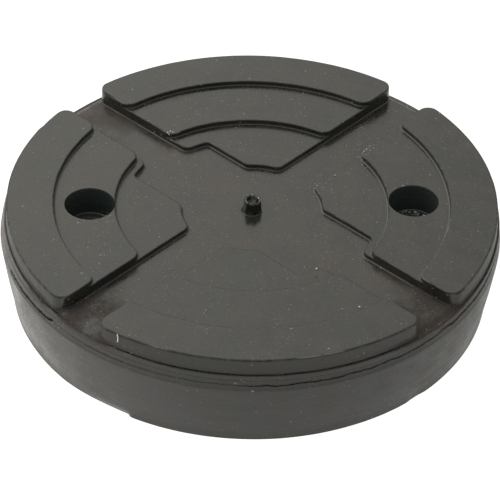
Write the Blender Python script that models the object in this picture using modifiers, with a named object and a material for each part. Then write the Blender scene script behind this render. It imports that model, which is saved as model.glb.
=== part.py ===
"""A round rubber pad for the arm of a vehicle lift, moulded in one piece.

The pad is a tapered disc that stands on its smaller face. Its top face carries four raised sectors
between two channels that cross at 45 degrees to the screw holes. Each sector rises outwards in three
steps: a low terrace, a middle band that holds the screws, and an outer band. The origin is on the
pad's axis at its flat underside, +Z up, and the two screw holes lie on the X axis. Metres throughout.
"""

import bmesh
import bpy
from math import atan2, cos, hypot, pi, radians, sin, sqrt, tan

# The disc
PAD_RADIUS = 0.06925  # of the body at its parting line
PARTING_DROP = 0.0027  # from the face down to the line where the two halves of the mould meet
FLASH_WIDTH = 0.00075  # thin lip of rubber squeezed out between the halves
FLASH_THICKNESS = 0.0004
WAIST_HEIGHT = 0.0019  # upright band under the parting line
SHOULDER_WIDTH = 0.0004  # the body steps out under that band, and tapers from there down
SHOULDER_DROP = 0.0006
SIDE_DRAFT = radians(8.9)
UNDERSIDE_CHAMFER = 0.0003

# The top face and its rim
FACE_HEIGHT = 0.0252
RIM_SET_BACK = 0.0006  # of the rim's edge from the body's radius
RIM_DROP = 0.0007  # of the rim's edge below the face
RIM_ROUND = 0.0003
BEAD_WIDTH = 0.0004  # low bead along the rim
GROOVE_DEPTH = 0.0001  # shallow groove between the bead and the face
FACE_FALL_WIDTH = 0.0016  # where the face falls away to that groove

# The raised sectors, in plan at the level of the face
CHANNEL_WIDTH = 0.0124
RELIEF_DEPTH = 0.0067  # one channel is wider by this on each side near the middle
SIDE_TIP_RADIUS = 0.0196  # where the left and right sectors begin, from the pad's axis
END_TIP_RADIUS = 0.0190  # the same on the front and back sectors
SIDE_SHOULDER_SET_BACK = 0.00235  # from the middle band in to where the left and right sectors widen
END_SHOULDER_SET_BACK = 0.00615  # the same on the front and back sectors
SECTOR_MARGIN = 0.00035  # from the rim's edge in to the sectors
BAND_CORNER_RADIUS = 0.0035
TIP_CORNER_RADIUS = 0.0025
HOLLOW_CORNER_RADIUS = 0.0015

# The steps of a sector
TERRACE_STEP = 0.0013
MIDDLE_STEP = 0.0015
OUTER_STEP = 0.0015
OUTER_BAND_WIDTH = 0.01345
BORE_EDGE = 0.0002  # between the head bores and the foot of the step inside them
SECTOR_DRAFT = radians(3)
EDGE_ROUND = 0.00035  # along the top of each wall
ROOT_ROUND = 0.0003  # along its foot
LEDGE_SHARE = 0.8  # how much of a narrowing ledge its two rounded edges may take
SECTOR_ROOT = 0.0015  # how far the sectors run down into the disc

# The two screw holes
HOLE_PITCH = 0.0900
HEAD_BORE_DIAMETER = 0.0137
HEAD_BORE_DEPTH = 0.0086  # from the middle band
SCREW_BORE_DIAMETER = 0.0090

# The stub of rubber left where the mould was fed
STUB_HEIGHT = 0.0042
STUB_RADIUS = 0.0023
STUB_DRAFT = radians(5)
STUB_FLARE = 0.0005
STUB_MOAT_WIDTH = 0.0006
STUB_MOAT_DEPTH = 0.0002

# How finely round shapes are divided
DISC_STEPS = 96
BORE_STEPS = 32
STUB_STEPS = 20
CORNER_STEPS = 6
LEDGE_POINTS = CORNER_STEPS // 2 + 1  # the points of a corner beside which a ledge narrows
RING_STEP = 2 * pi / DISC_STEPS

OVERSHOOT = 0.002  # how far a cutter runs past what it cuts
ROOT_SINK = 0.0001  # how far the rounded foot of a sector runs on below the face

# Sizes that follow from the ones above
PARTING_HEIGHT = FACE_HEIGHT - PARTING_DROP
RIM_RADIUS = PAD_RADIUS - RIM_SET_BACK
RIM_HEIGHT = FACE_HEIGHT - RIM_DROP
SECTOR_RADIUS = RIM_RADIUS - SECTOR_MARGIN
CHANNEL_HALF = CHANNEL_WIDTH / 2
RELIEF_HALF = CHANNEL_HALF + RELIEF_DEPTH
TERRACE_HEIGHT = FACE_HEIGHT + TERRACE_STEP
MIDDLE_HEIGHT = TERRACE_HEIGHT + MIDDLE_STEP
OUTER_HEIGHT = MIDDLE_HEIGHT + OUTER_STEP
MIDDLE_BAND_RADIUS = (HOLE_PITCH - HEAD_BORE_DIAMETER) / 2 - BORE_EDGE
OUTER_BAND_RADIUS = SECTOR_RADIUS - OUTER_BAND_WIDTH
SIDE_SHOULDER_RADIUS = MIDDLE_BAND_RADIUS - SIDE_SHOULDER_SET_BACK
END_SHOULDER_RADIUS = MIDDLE_BAND_RADIUS - END_SHOULDER_SET_BACK

RUBBER_COLOUR = (0.024, 0.022, 0.021, 1.0)
RUBBER_ROUGHNESS = 0.5


def clear_scene():
    for old in list(bpy.data.objects):
        bpy.data.objects.remove(old, do_unlink=True)


def new_collection(name):
    collection = bpy.data.collections.new(name)
    bpy.context.scene.collection.children.link(collection)
    return collection


def new_object(name, mesh, collection):
    obj = bpy.data.objects.new(name, mesh)
    collection.objects.link(obj)
    return obj


def rubber():
    material = bpy.data.materials.new("black_rubber")
    material.use_nodes = True
    shader = material.node_tree.nodes["Principled BSDF"]
    shader.inputs["Base Color"].default_value = RUBBER_COLOUR
    shader.inputs["Roughness"].default_value = RUBBER_ROUGHNESS
    shader.inputs["Metallic"].default_value = 0.0
    return material


def turned(name, profile, steps, collection):
    """A solid of revolution. The profile gives (radius, height) from the axis at the top,
    down the outer side, to the axis at the bottom."""
    mesh = bpy.data.meshes.new(name)
    points = [(radius, 0.0, height) for radius, height in profile]
    mesh.from_pydata(points, [(i, i + 1) for i in range(len(points) - 1)], [])
    obj = new_object(name, mesh, collection)
    screw = obj.modifiers.new("turn", "SCREW")
    screw.steps = steps
    screw.render_steps = steps
    screw.use_merge_vertices = True
    screw.merge_threshold = 0.000001
    return obj


def combine(obj, operation, other):
    boolean = obj.modifiers.new(other.name, "BOOLEAN")
    boolean.operation = operation
    boolean.solver = "EXACT"
    boolean.object = other


def make_helper(obj):
    obj.hide_render = True
    obj.display_type = "WIRE"


def disc(collection):
    """The body with its taper, flash line, rim bead and shallow groove."""
    flash_top = PARTING_HEIGHT + FLASH_THICKNESS / 2
    flash_bottom = PARTING_HEIGHT - FLASH_THICKNESS / 2
    waist_bottom = PARTING_HEIGHT - WAIST_HEIGHT
    side_top = waist_bottom - SHOULDER_DROP
    side_radius = PAD_RADIUS + SHOULDER_WIDTH
    underside_radius = side_radius - (side_top - UNDERSIDE_CHAMFER) * tan(SIDE_DRAFT)
    bead_inside = RIM_RADIUS - RIM_ROUND - BEAD_WIDTH
    profile = [
        (0.0, FACE_HEIGHT),
        (bead_inside - FACE_FALL_WIDTH, FACE_HEIGHT),
        (bead_inside, RIM_HEIGHT - GROOVE_DEPTH),
        (RIM_RADIUS - RIM_ROUND - BEAD_WIDTH / 2, RIM_HEIGHT),
        (RIM_RADIUS - RIM_ROUND, RIM_HEIGHT),
        (RIM_RADIUS, RIM_HEIGHT - RIM_ROUND),
        (PAD_RADIUS, flash_top),
        (PAD_RADIUS + FLASH_WIDTH, PARTING_HEIGHT),
        (PAD_RADIUS, flash_bottom),
        (PAD_RADIUS, waist_bottom),
        (side_radius, side_top),
        (underside_radius, UNDERSIDE_CHAMFER),
        (underside_radius - UNDERSIDE_CHAMFER, 0.0),
        (0.0, 0.0),
    ]
    return turned("rubber_pad", profile, DISC_STEPS, collection)


def line_leg(bearing, side, offset):
    """A straight wall: it runs outwards at the bearing, at an offset from the pad's axis. The side,
    1 or -1, says on which hand of that direction the rubber lies."""
    along = (cos(bearing), sin(bearing))
    inward = (-side * along[1], side * along[0])
    return along, inward, offset


def corner(line, ring_radius, rubber_outside, radius, re_entrant):
    """Where a straight wall meets a ring about the axis, rounded off. Gives the points where the
    round leaves the wall and the ring, and its centre between them."""
    along, inward, offset = line
    away = -radius if re_entrant else radius
    ring_distance = ring_radius + away if rubber_outside else ring_radius - away
    reach = offset + away
    run = sqrt(ring_distance**2 - reach**2)
    centre = (reach * inward[0] + run * along[0], reach * inward[1] + run * along[1])
    on_line = (centre[0] - away * inward[0], centre[1] - away * inward[1])
    scale = ring_radius / ring_distance
    return on_line, centre, (centre[0] * scale, centre[1] * scale)


def arc(start, end, centre, steps, rubber_outside):
    """Points along the shorter arc from start to end, each with the direction into the rubber."""
    radius = hypot(start[0] - centre[0], start[1] - centre[1])
    first = atan2(start[1] - centre[1], start[0] - centre[0])
    last = atan2(end[1] - centre[1], end[0] - centre[0])
    turn = (last - first + pi) % (2 * pi) - pi
    sense = 1 if rubber_outside else -1
    points = []
    for i in range(steps + 1):
        across = cos(first + turn * i / steps)
        up = sin(first + turn * i / steps)
        place = (centre[0] + radius * across, centre[1] + radius * up)
        points.append((*place, sense * across, sense * up))
    return points


def run_of(corners):
    """Points along a run of rounded corners, which lead in turn from a wall on to a ring and from
    the ring on to a wall again."""
    points = []
    for i, (line, ring_radius, rubber_outside, radius, re_entrant) in enumerate(corners):
        on_line, centre, on_ring = corner(line, ring_radius, rubber_outside, radius, re_entrant)
        if i % 2 == 0:
            points += arc(on_line, on_ring, centre, CORNER_STEPS, re_entrant)
            continue
        left_at = points[-1]
        sweep = abs(atan2(left_at[1], left_at[0]) - atan2(on_ring[1], on_ring[0]))
        steps = max(1, round(sweep / RING_STEP))
        points += arc(left_at, on_ring, (0.0, 0.0), steps, rubber_outside)[1:-1]
        points += arc(on_ring, on_line, centre, CORNER_STEPS, re_entrant)
    return points


def sector_plan(tip_radius, shoulder_radius):
    """The right-hand sector in plan: the inner outlines of its terrace and two bands, each from the
    upper wall round to the lower one, and the outer outline that they share."""
    relief = line_leg(radians(-45), 1, RELIEF_HALF)
    lower = line_leg(radians(-45), 1, CHANNEL_HALF)
    upper = line_leg(radians(45), -1, CHANNEL_HALF)
    terrace = run_of([
        (upper, tip_radius, True, TIP_CORNER_RADIUS, False),
        (relief, tip_radius, True, TIP_CORNER_RADIUS, False),
        (relief, shoulder_radius, True, HOLLOW_CORNER_RADIUS, True),
        (lower, shoulder_radius, True, TIP_CORNER_RADIUS, False),
    ])
    bands = [
        run_of([
            (upper, radius, True, BAND_CORNER_RADIUS, False),
            (lower, radius, True, BAND_CORNER_RADIUS, False),
        ])
        for radius in (MIDDLE_BAND_RADIUS, OUTER_BAND_RADIUS)
    ]
    outside = run_of([
        (lower, SECTOR_RADIUS, False, BAND_CORNER_RADIUS, False),
        (upper, SECTOR_RADIUS, False, BAND_CORNER_RADIUS, False),
    ])
    return [terrace] + bands, outside


def corner_ends(band):
    """The two ends of a band's inner outline, at the upper and the lower wall, each taken from the
    wall on."""
    return band[:LEDGE_POINTS], band[: -LEDGE_POINTS - 1 : -1]


def landings(corner_end):
    """For each of these points: the place beside it on the wall, and the share of the full rounding
    for which the ledge between the two has room."""
    wall_x, wall_y, inward_x, inward_y = corner_end[0]
    found = []
    for x, y, _, _ in corner_end:
        depth = (x - wall_x) * inward_x + (y - wall_y) * inward_y
        place = (x - depth * inward_x, y - depth * inward_y, inward_x, inward_y)
        found.append((place, min(1.0, LEDGE_SHARE * depth / (EDGE_ROUND + ROOT_ROUND))))
    return found


def level_outline(inner, outside, level):
    """The closed outline of one level, as places in plan with their shares of the rounding along the
    level's top edge and along its foot. It takes in the marks on the walls where the bands above
    meet them, so that each level fits on the one below."""
    own = inner[level]
    foot = [1.0] * len(own)
    if level > 0:
        at_upper, at_lower = corner_ends(own)
        foot[:LEDGE_POINTS] = [share for _, share in landings(at_upper)]
        foot[-LEDGE_POINTS:] = [share for _, share in landings(at_lower)][::-1]
    outline = [(place, 1.0, share) for place, share in zip(own, foot)]

    wall_foot = 1.0 if level == 0 else 0.0
    wall_top = 1.0
    way_back = []
    for band in inner[level + 1 :]:
        at_upper, at_lower = corner_ends(band)
        outline += [(place, wall_top * share, wall_foot) for place, share in landings(at_lower)][::-1]
        marks = [(place, wall_top * share, wall_foot) for place, share in landings(at_upper)]
        way_back = marks + way_back
        wall_top = 0.0
    outline += [(place, wall_top, 0.0) for place in outside]
    return outline + way_back


def ring_of_verts(bm, outline, place, height, edge, foot):
    """The outline at one height, moved into the rubber by the draft and the rounding."""
    drafted = (height - FACE_HEIGHT) * tan(SECTOR_DRAFT)
    verts = []
    for (x, y, inward_x, inward_y), edge_share, foot_share in outline:
        inset = drafted + edge * edge_share - foot * foot_share
        across, up = place(x + inset * inward_x, y + inset * inward_y)
        verts.append(bm.verts.new((across, up, height)))
    return verts


def add_sector(bm, place, tip_radius, shoulder_radius):
    """One sector, its terrace and bands standing one on another within the same outer walls."""
    inner, outside = sector_plan(tip_radius, shoulder_radius)
    buried_foot = ROOT_ROUND + ROOT_SINK
    foot = [(FACE_HEIGHT - SECTOR_ROOT, 0.0, buried_foot), (FACE_HEIGHT - ROOT_SINK, 0.0, buried_foot)]
    base = FACE_HEIGHT
    below = []
    for level, top in enumerate((TERRACE_HEIGHT, MIDDLE_HEIGHT, OUTER_HEIGHT)):
        outline = level_outline(inner, outside, level)
        stages = foot + [
            (base + ROOT_ROUND, 0.0, 0.0),
            (top - EDGE_ROUND, 0.0, 0.0),
            (top, EDGE_ROUND, 0.0),
        ]
        rings = [ring_of_verts(bm, outline, place, *stage) for stage in stages]
        for lower, upper in zip(rings, rings[1:]):
            for i in range(len(lower)):
                bm.faces.new((lower[i - 1], lower[i], upper[i], upper[i - 1]))
        step_foot = rings[0][: len(inner[level])]
        if level == 0:
            bm.faces.new(rings[0][::-1])
        else:
            ledge_end = len(inner[level - 1]) + LEDGE_POINTS - 1
            bm.faces.new(below[:ledge_end] + step_foot[::-1] + below[1 - LEDGE_POINTS :])
        below = rings[-1]
        foot = [(top, 0.0, ROOT_ROUND)]
        base = top
    bm.faces.new(below)


def sectors(collection):
    """The four raised sectors. The back one mirrors the right one across the narrow channel, and
    the front and left ones are those two turned half way round."""
    placings = (
        (lambda x, y: (x, y), SIDE_TIP_RADIUS, SIDE_SHOULDER_RADIUS),
        (lambda x, y: (y, x), END_TIP_RADIUS, END_SHOULDER_RADIUS),
        (lambda x, y: (-x, -y), SIDE_TIP_RADIUS, SIDE_SHOULDER_RADIUS),
        (lambda x, y: (-y, -x), END_TIP_RADIUS, END_SHOULDER_RADIUS),
    )
    bm = bmesh.new()
    for place, tip_radius, shoulder_radius in placings:
        add_sector(bm, place, tip_radius, shoulder_radius)
    bmesh.ops.remove_doubles(bm, verts=bm.verts, dist=0.0000002)
    bmesh.ops.recalc_face_normals(bm, faces=bm.faces)
    mesh = bpy.data.meshes.new("sectors")
    bm.to_mesh(mesh)
    bm.free()
    return new_object("sectors", mesh, collection)


def hole_cutter(name, x, collection):
    """One screw hole: a bore for the screw's head down to a ledge, and a narrower one below."""
    ledge = MIDDLE_HEIGHT - HEAD_BORE_DEPTH
    profile = [
        (0.0, OUTER_HEIGHT + OVERSHOOT),
        (HEAD_BORE_DIAMETER / 2, OUTER_HEIGHT + OVERSHOOT),
        (HEAD_BORE_DIAMETER / 2, ledge),
        (SCREW_BORE_DIAMETER / 2, ledge),
        (SCREW_BORE_DIAMETER / 2, -OVERSHOOT),
        (0.0, -OVERSHOOT),
    ]
    cutter = turned(name, profile, BORE_STEPS, collection)
    cutter.location.x = x
    return cutter


def stub(collection):
    """The torn stub: a short post that flares into the face, with a blunt and hollowed top."""
    top = FACE_HEIGHT + STUB_HEIGHT
    foot = FACE_HEIGHT + STUB_FLARE
    tip_radius = STUB_RADIUS - (top - foot) * tan(STUB_DRAFT)
    profile = [
        (0.0, top - STUB_FLARE),
        (tip_radius / 2, top - STUB_FLARE / 2),
        (tip_radius - STUB_FLARE / 2, top),
        (tip_radius, top - STUB_FLARE / 2),
        (STUB_RADIUS, foot),
        (STUB_RADIUS + STUB_FLARE, FACE_HEIGHT - STUB_MOAT_DEPTH),
        (STUB_RADIUS + STUB_FLARE, FACE_HEIGHT - SECTOR_ROOT),
        (0.0, FACE_HEIGHT - SECTOR_ROOT),
    ]
    return turned("stub", profile, STUB_STEPS, collection)


def moat_cutter(collection):
    """The faint ring pressed into the face round the stub."""
    outer = STUB_RADIUS + STUB_FLARE + STUB_MOAT_WIDTH
    profile = [
        (0.0, FACE_HEIGHT + OVERSHOOT),
        (outer, FACE_HEIGHT + OVERSHOOT),
        (outer, FACE_HEIGHT),
        (outer - STUB_MOAT_WIDTH / 2, FACE_HEIGHT - STUB_MOAT_DEPTH),
        (0.0, FACE_HEIGHT - STUB_MOAT_DEPTH),
    ]
    return turned("moat_cutter", profile, STUB_STEPS, collection)


def freeze(obj):
    """Turns the object's modifiers into its mesh, so that the finished surface can be shaded."""
    bpy.context.view_layer.update()
    graph = bpy.context.evaluated_depsgraph_get()
    mesh = bpy.data.meshes.new_from_object(obj.evaluated_get(graph))
    obj.modifiers.clear()
    obj.data = mesh


def build():
    clear_scene()
    parts = new_collection("lift_arm_pad")
    helpers = new_collection("cutters")

    pad = disc(parts)
    combine(pad, "DIFFERENCE", moat_cutter(helpers))
    combine(pad, "UNION", stub(helpers))
    combine(pad, "UNION", sectors(helpers))
    for name, side in (("left_hole_cutter", -1), ("right_hole_cutter", 1)):
        combine(pad, "DIFFERENCE", hole_cutter(name, side * HOLE_PITCH / 2, helpers))
    for helper in helpers.objects:
        make_helper(helper)

    freeze(pad)
    pad.data.materials.clear()
    pad.data.materials.append(rubber())
    pad.data.shade_smooth()
    pad.data.set_sharp_from_angle(angle=radians(25))


build()
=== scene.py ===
"""A round rubber pad for the arm of a vehicle lift, dressed for its portrait.

The pad is one moulding. Its body comes first, then what the mould and the workshop left on it: the
parting line, torn scraps, dust and lint. The floor, light and camera come last. Pieces are worked out
in millimetres and turned into metres when they are finished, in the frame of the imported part.
"""

import bmesh
import bpy
from functools import partial
from math import atan2, cos, degrees, hypot, pi, radians, sin, sqrt, tan
from mathutils import Matrix, Vector, kdtree, noise


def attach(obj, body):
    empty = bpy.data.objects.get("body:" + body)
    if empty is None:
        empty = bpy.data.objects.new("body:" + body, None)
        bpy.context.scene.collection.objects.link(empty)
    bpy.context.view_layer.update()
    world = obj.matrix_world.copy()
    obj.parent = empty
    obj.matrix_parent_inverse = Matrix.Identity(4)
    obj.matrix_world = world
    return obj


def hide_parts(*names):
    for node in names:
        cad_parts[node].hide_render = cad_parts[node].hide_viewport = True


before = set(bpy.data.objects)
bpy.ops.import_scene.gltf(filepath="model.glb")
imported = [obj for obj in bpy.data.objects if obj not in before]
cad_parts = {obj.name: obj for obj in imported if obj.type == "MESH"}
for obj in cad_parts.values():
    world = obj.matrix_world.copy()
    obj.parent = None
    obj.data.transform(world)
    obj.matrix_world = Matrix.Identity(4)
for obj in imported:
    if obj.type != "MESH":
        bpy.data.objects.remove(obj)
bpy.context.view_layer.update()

# ---- the moulded body ----
# The whole pad: a tapered disc of black rubber with four stepped sectors on its face, pressed in a
# two-part steel mould and fed through the middle. Two screws in deep bores hold it to the lift's arm.

MM = 0.001
FACE = 25.2
TERRACE = 26.5
MIDDLE = 28.0
OUTER = 29.38
CHANNEL_HALF = 6.2
RELIEF_HALF = 12.9
MIDDLE_FOOT = 37.95
OUTER_FOOT = 54.85
SECTOR_RADIUS = 68.3
SIDE_TIP, SIDE_SHOULDER = 19.6, 35.6
END_TIP, END_SHOULDER = 19.0, 31.8
BAND_CORNER, TIP_CORNER, HOLLOW_CORNER = 3.5, 2.5, 1.5
EDGE_ROUND, ROOT_ROUND = 0.22, 0.40
WEAR_FADE = 0.3
WALL_DRAFT = radians(3)
ROOT_DEPTH = 1.5
CORNER_STEPS = 14
LEDGE_POINTS = 11
POINT_GAP = 1.2
ROUND_STEPS = 5
FALL_START, GROOVE_RADIUS, GROOVE_HEIGHT = 66.3, 68.15, 24.38
HOLE_OFFSET = 45.0


def wall_line(bearing, side, offset):
    along = (cos(bearing), sin(bearing))
    return along, (-side * along[1], side * along[0]), offset


def rounded_corner(line, ring_radius, rubber_outside, radius, re_entrant):
    """Where a straight wall meets a ring, rounded off: the round's two ends and its centre."""
    along, inward, offset = line
    away = -radius if re_entrant else radius
    ring_distance = ring_radius + away if rubber_outside else ring_radius - away
    reach = offset + away
    run = sqrt(ring_distance**2 - reach**2)
    centre = (reach * inward[0] + run * along[0], reach * inward[1] + run * along[1])
    on_line = (centre[0] - away * inward[0], centre[1] - away * inward[1])
    scale = ring_radius / ring_distance
    return on_line, centre, (centre[0] * scale, centre[1] * scale)


def arc_points(start, end, centre, steps, rubber_outside):
    radius = hypot(start[0] - centre[0], start[1] - centre[1])
    first = atan2(start[1] - centre[1], start[0] - centre[0])
    last = atan2(end[1] - centre[1], end[0] - centre[0])
    turn = (last - first + pi) % (2 * pi) - pi
    sense = 1 if rubber_outside else -1
    points = []
    for i in range(steps + 1):
        across = cos(first + turn * i / steps)
        up = sin(first + turn * i / steps)
        points.append((centre[0] + radius * across, centre[1] + radius * up, sense * across, sense * up))
    return points


def between(start, end):
    """Points along a straight stretch, without its ends, at about the usual gap."""
    steps = max(1, round(hypot(end[0] - start[0], end[1] - start[1]) / POINT_GAP))
    return [tuple(a + (b - a) * i / steps for a, b in zip(start, end)) for i in range(1, steps)]


def outline_run(corners):
    """Points along rounded corners that lead in turn from a wall on to a ring and back."""
    points = []
    for i, (line, ring_radius, rubber_outside, radius, re_entrant) in enumerate(corners):
        on_line, centre, on_ring = rounded_corner(line, ring_radius, rubber_outside, radius, re_entrant)
        if i % 2 == 0:
            leg = arc_points(on_line, on_ring, centre, CORNER_STEPS, re_entrant)
            if points:
                points += between(points[-1], leg[0])
            points += leg
            continue
        left_at = points[-1]
        sweep = abs(atan2(left_at[1], left_at[0]) - atan2(on_ring[1], on_ring[0]))
        steps = max(1, round(sweep * ring_radius / POINT_GAP))
        points += arc_points(left_at, on_ring, (0.0, 0.0), steps, rubber_outside)[1:-1]
        points += arc_points(on_ring, on_line, centre, CORNER_STEPS, re_entrant)
    return points


def sector_plan(tip, shoulder):
    """The right-hand sector in plan: the inner outlines of terrace and bands, and the outer one."""
    relief = wall_line(radians(-45), 1, RELIEF_HALF)
    lower = wall_line(radians(-45), 1, CHANNEL_HALF)
    upper = wall_line(radians(45), -1, CHANNEL_HALF)
    terrace = outline_run([
        (upper, tip, True, TIP_CORNER, False),
        (relief, tip, True, TIP_CORNER, False),
        (relief, shoulder, True, HOLLOW_CORNER, True),
        (lower, shoulder, True, TIP_CORNER, False),
    ])
    bands = [
        outline_run([(wall, radius, True, BAND_CORNER, False) for wall in (upper, lower)])
        for radius in (MIDDLE_FOOT, OUTER_FOOT)
    ]
    outside = outline_run([(wall, SECTOR_RADIUS, False, BAND_CORNER, False) for wall in (lower, upper)])
    return [terrace] + bands, outside


def ledge_marks(corner_end):
    """Beside each point of a band's end: its place on the wall, and the share of the rounding there."""
    wall_x, wall_y, inward_x, inward_y = corner_end[0]
    marks = []
    for x, y, _, _ in corner_end:
        depth = (x - wall_x) * inward_x + (y - wall_y) * inward_y
        share = min(1.0, 0.8 * depth / (EDGE_ROUND + ROOT_ROUND + 2 * WEAR_FADE))
        marks.append(((x - depth * inward_x, y - depth * inward_y, inward_x, inward_y), share))
    return marks


def level_outline(inner, outside, level):
    """One level's closed outline as (x, y, inward x, inward y, edge share, foot share), and how many
    of its points, at its start and at its end, bound the ledge that the next level leaves."""
    own = inner[level]
    foot = [1.0] * len(own)
    if level:
        foot[:LEDGE_POINTS] = [share for _, share in ledge_marks(own[:LEDGE_POINTS])]
        foot[-LEDGE_POINTS:] = [share for _, share in ledge_marks(own[: -LEDGE_POINTS - 1 : -1])][::-1]
    out = [(*place, 1.0, share) for place, share in zip(own, foot)]
    wall_foot = 0.0 if level else 1.0
    wall_top = 1.0
    way_back = []
    front_count = back_count = 0
    for band in inner[level + 1 :]:
        at_upper, at_lower = [
            [(*place, wall_top * share, wall_foot) for place, share in ledge_marks(corner_end)]
            for corner_end in (band[:LEDGE_POINTS], band[: -LEDGE_POINTS - 1 : -1])
        ]
        at_lower.reverse()
        out += between(out[-1], at_lower[0]) + at_lower
        after = way_back[0] if way_back else out[0]
        way_back = at_upper + between(at_upper[-1], after) + way_back
        if wall_top:
            front_count, back_count = len(out) - 1, len(way_back) - 1
        wall_top = 0.0
    rim = []
    for i, place in enumerate(outside):
        near_end = min(i, len(outside) - 1 - i) / CORNER_STEPS
        rim.append((*place, wall_top, wall_foot * max(0.0, 1.0 - near_end)))
    out += between(out[-1], rim[0]) + rim
    after = way_back[0] if way_back else out[0]
    out += between(out[-1], after) + way_back
    return out, front_count, back_count


def face_height(radius):
    """The height of the disc's face, which falls away to a groove before the rim."""
    t = min(1.0, max(0.0, (radius - FALL_START) / (GROOVE_RADIUS - FALL_START)))
    return FACE - (FACE - GROOVE_HEIGHT) * t * t * (3 - 2 * t)


def ring_of_verts(bm, outline, place, rise, edge, foot, on_face, wear_and_crease):
    layer = bm.verts.layers.float["edge"]
    verts = []
    for x, y, inward_x, inward_y, edge_share, foot_share in outline:
        height = rise + (face_height(hypot(x, y)) - FACE if on_face else 0.0)
        inset = (height - FACE) * tan(WALL_DRAFT) + edge * edge_share - foot * foot_share
        across, up = place(x + inset * inward_x, y + inset * inward_y)
        vert = bm.verts.new((across, up, height))
        # A mark above zero is an outer edge that wears; below zero it is a crease, where the material
        # paints shade.
        vert[layer] = wear_and_crease * (edge_share if wear_and_crease > 0 else foot_share)
        verts.append(vert)
    return verts


def add_sector(bm, place, tip, shoulder):
    inner, outside = sector_plan(tip, shoulder)
    quarter = [i * pi / 2 / ROUND_STEPS for i in range(ROUND_STEPS + 1)]
    stages = [(FACE - ROOT_DEPTH, 0.0, ROOT_ROUND + WEAR_FADE, True, 0.0)]
    below = []
    ledge_front = ledge_back = 0
    for level, (base, top) in enumerate(((FACE, TERRACE), (TERRACE, MIDDLE), (MIDDLE, OUTER))):
        outline, front_count, back_count = level_outline(inner, outside, level)
        stages.append((base + 0.004 * (level == 0), 0.0, ROOT_ROUND + WEAR_FADE, level == 0, 0.0))
        for turn in quarter:
            rise = base + ROOT_ROUND * (1 - cos(turn)) + 0.005 * (level == 0)
            stages.append((rise, 0.0, ROOT_ROUND * (1 - sin(turn)), level == 0, -cos(turn)))
        for turn in quarter:
            rise = top - EDGE_ROUND * (1 - sin(turn))
            stages.append((rise, EDGE_ROUND * (1 - cos(turn)), 0.0, False, 0.5 + 0.5 * sin(2 * turn)))
        stages.append((top, EDGE_ROUND + WEAR_FADE, 0.0, False, 0.0))
        rings = [ring_of_verts(bm, outline, place, *stage) for stage in stages]
        for lower, upper in zip(rings, rings[1:]):
            for i in range(len(lower)):
                bm.faces.new((lower[i - 1], lower[i], upper[i], upper[i - 1]))
        step_foot = rings[0][: len(inner[level])]
        if level == 0:
            bm.faces.new(rings[0][::-1])
        else:
            bm.faces.new(below[:ledge_front] + step_foot[::-1] + below[len(below) - ledge_back :])
        below = rings[-1]
        ledge_front, ledge_back = front_count, back_count
        stages = []
    bm.faces.new(below)


def mesh_object(name, mesh):
    obj = bpy.data.objects.new(name, mesh)
    bpy.context.scene.collection.objects.link(obj)
    return obj


def object_from(bm, name):
    mesh = bpy.data.meshes.new(name)
    bm.to_mesh(mesh)
    bm.free()
    return mesh_object(name, mesh)


def sectors():
    bm = bmesh.new()
    bm.verts.layers.float.new("edge")
    add_sector(bm, lambda x, y: (x, y), SIDE_TIP, SIDE_SHOULDER)
    add_sector(bm, lambda x, y: (y, x), END_TIP, END_SHOULDER)
    add_sector(bm, lambda x, y: (-x, -y), SIDE_TIP, SIDE_SHOULDER)
    add_sector(bm, lambda x, y: (-y, -x), END_TIP, END_SHOULDER)
    bmesh.ops.remove_doubles(bm, verts=bm.verts, dist=0.0002)
    bmesh.ops.recalc_face_normals(bm, faces=bm.faces)
    return object_from(bm, "sectors")


def turned(name, profile, steps, bend=None):
    """A solid of revolution about Z from (radius, height) points, both ends on the axis. A third
    number marks an edge: above zero one that wears, below zero a crease where shade is painted."""
    bm = bmesh.new()
    layer = bm.verts.layers.float.new("edge")
    rings = []
    for radius, height, *wear_and_crease in profile:
        if radius == 0:
            rings.append([bm.verts.new((0, 0, height))])
            continue
        ring = []
        for i in range(steps):
            angle = 2 * pi * i / steps
            point = (radius * cos(angle), radius * sin(angle), height)
            vert = bm.verts.new(bend(*point) if bend else point)
            vert[layer] = wear_and_crease[0] if wear_and_crease else 0.0
            ring.append(vert)
        rings.append(ring)
    for upper, lower in zip(rings, rings[1:]):
        for i in range(steps):
            if len(upper) == 1:
                bm.faces.new((upper[0], lower[i - 1], lower[i]))
            elif len(lower) == 1:
                bm.faces.new((upper[i - 1], lower[0], upper[i]))
            else:
                bm.faces.new((upper[i - 1], lower[i - 1], lower[i], upper[i]))
    bmesh.ops.recalc_face_normals(bm, faces=bm.faces)
    return object_from(bm, name)


def ramp(value, start, end):
    """0 before start and 1 after end, smooth between; start may be the greater."""
    t = min(1.0, max(0.0, (value - start) / (end - start)))
    return t * t * (3 - 2 * t)


# How far the lower half of the mould sat off the upper one, and the heights where the shift begins
# and is complete.
SHIFT_X, SHIFT_Y = -0.30, 0.15
SHIFT_START, SHIFT_END = 23.6, 22.8


def as_moulded(x, y, z):
    """The lower half of the mould sat a little off the upper one. The bottom edge is trimmed back at the
    left and dented at the right."""
    bearing = degrees(atan2(y, x)) % 360
    trimmed = 0.85 * ramp(z, 2.4, 0.0) * ramp(bearing, 218.0, 236.0) * ramp(bearing, 239.5, 238.3)
    dented = 0.30 * ramp(z, 5.0, 0.0) * ramp(bearing, 307.0, 309.5) * ramp(bearing, 314.0, 311.0)
    radius = hypot(x, y)
    if radius > 60:
        scale = 1 - (trimmed + dented) / radius
        x, y = x * scale, y * scale
    below = ramp(z, SHIFT_START, SHIFT_END)
    return x + SHIFT_X * below, y + SHIFT_Y * below, z


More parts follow.
